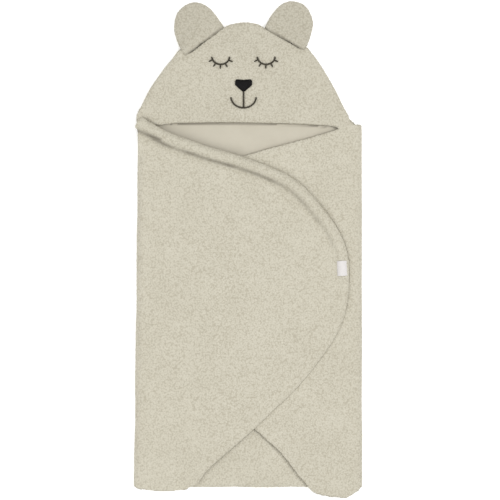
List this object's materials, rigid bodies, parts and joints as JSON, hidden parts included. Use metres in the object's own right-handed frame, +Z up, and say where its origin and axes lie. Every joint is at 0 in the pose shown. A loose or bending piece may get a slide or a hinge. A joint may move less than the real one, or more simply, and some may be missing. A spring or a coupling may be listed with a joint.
{
  "type": "hooded baby towel",
  "caption": "Baby towel laid flat, with a bear-faced hood and ears, two front flaps crossed over the body and a foot pocket.",
  "frame": {"origin": "middle of the towel's outline, on the surface that it lies on", "axes": "+Z up out of the surface, +Y from the foot to the hood, +X to the right as seen from above with the hood at the top"},
  "size_m": [0.38, 0.8271, 0.0349],
  "materials": {
    "pile": "matte",
    "lining": "matte",
    "face_thread": "satin",
    "nose_thread": "satin",
    "label_tape": "satin"
  },
  "bodies": {
    "back": {"back_shell": "pile", "back_lining": "lining", "left_side_fold": "pile", "right_side_fold": "pile", "foot_fold": "pile", "foot_pocket_shell": "pile", "foot_pocket_lining": "lining", "hood_crown_shell": "pile", "hood_crown_lining": "lining", "left_hood_seam": "pile", "right_hood_seam": "pile", "crown_seam": "pile"},
    "outer_flap": {"outer_flap_shell": "pile", "outer_flap_lining": "lining", "outer_flap_roll": "pile"},
    "inner_flap": {"inner_flap_shell": "pile", "inner_flap_lining": "lining"},
    "hood_front": {"hood_front_shell": "pile", "hood_front_lining": "lining", "hood_brim": "pile", "left_eye": "face_thread", "right_eye": "face_thread", "nose": "nose_thread", "mouth": "face_thread"},
    "left_ear": {"left_ear_front": "pile", "left_ear_back": "pile"},
    "right_ear": {"right_ear_front": "pile", "right_ear_back": "pile"},
    "label": {"label": "label_tape"}
  },
  "joints": [
    {"name": "outer_flap_open", "type": "hinge", "parent": "back", "child": "outer_flap", "pos_m": [-0.1845, -0.101, 0.0178], "axis": [-0.0119, -0.9999, 0], "range_deg": [0, 180], "deforming": ["left_side_fold"]},
    {"name": "inner_flap_open", "type": "hinge", "parent": "back", "child": "inner_flap", "pos_m": [0.184, -0.1, 0.0105], "axis": [0, 1, 0], "range_deg": [0, 180], "deforming": ["right_side_fold", "inner_flap_shell", "inner_flap_lining"]},
    {"name": "hood_lift", "type": "hinge", "parent": "back", "child": "hood_front", "pos_m": [0, 0.3213, 0.0208], "axis": [-1, 0, 0], "range_deg": [0, 35]},
    {"name": "left_ear_fold", "type": "hinge", "parent": "back", "child": "left_ear", "pos_m": [-0.07163, 0.34665, 0.0154], "axis": [0.7954, 0.6061, 0], "range_deg": [0, 120]},
    {"name": "right_ear_fold", "type": "hinge", "parent": "back", "child": "right_ear", "pos_m": [0.05747, 0.3516, 0.0154], "axis": [0.8642, -0.5032, 0], "range_deg": [0, 120]},
    {"name": "label_lift", "type": "hinge", "parent": "outer_flap", "child": "label", "pos_m": [0.14745, -0.0342, 0.0294], "axis": [0.0415, -0.9991, 0], "range_deg": [0, 120]}
  ]
}
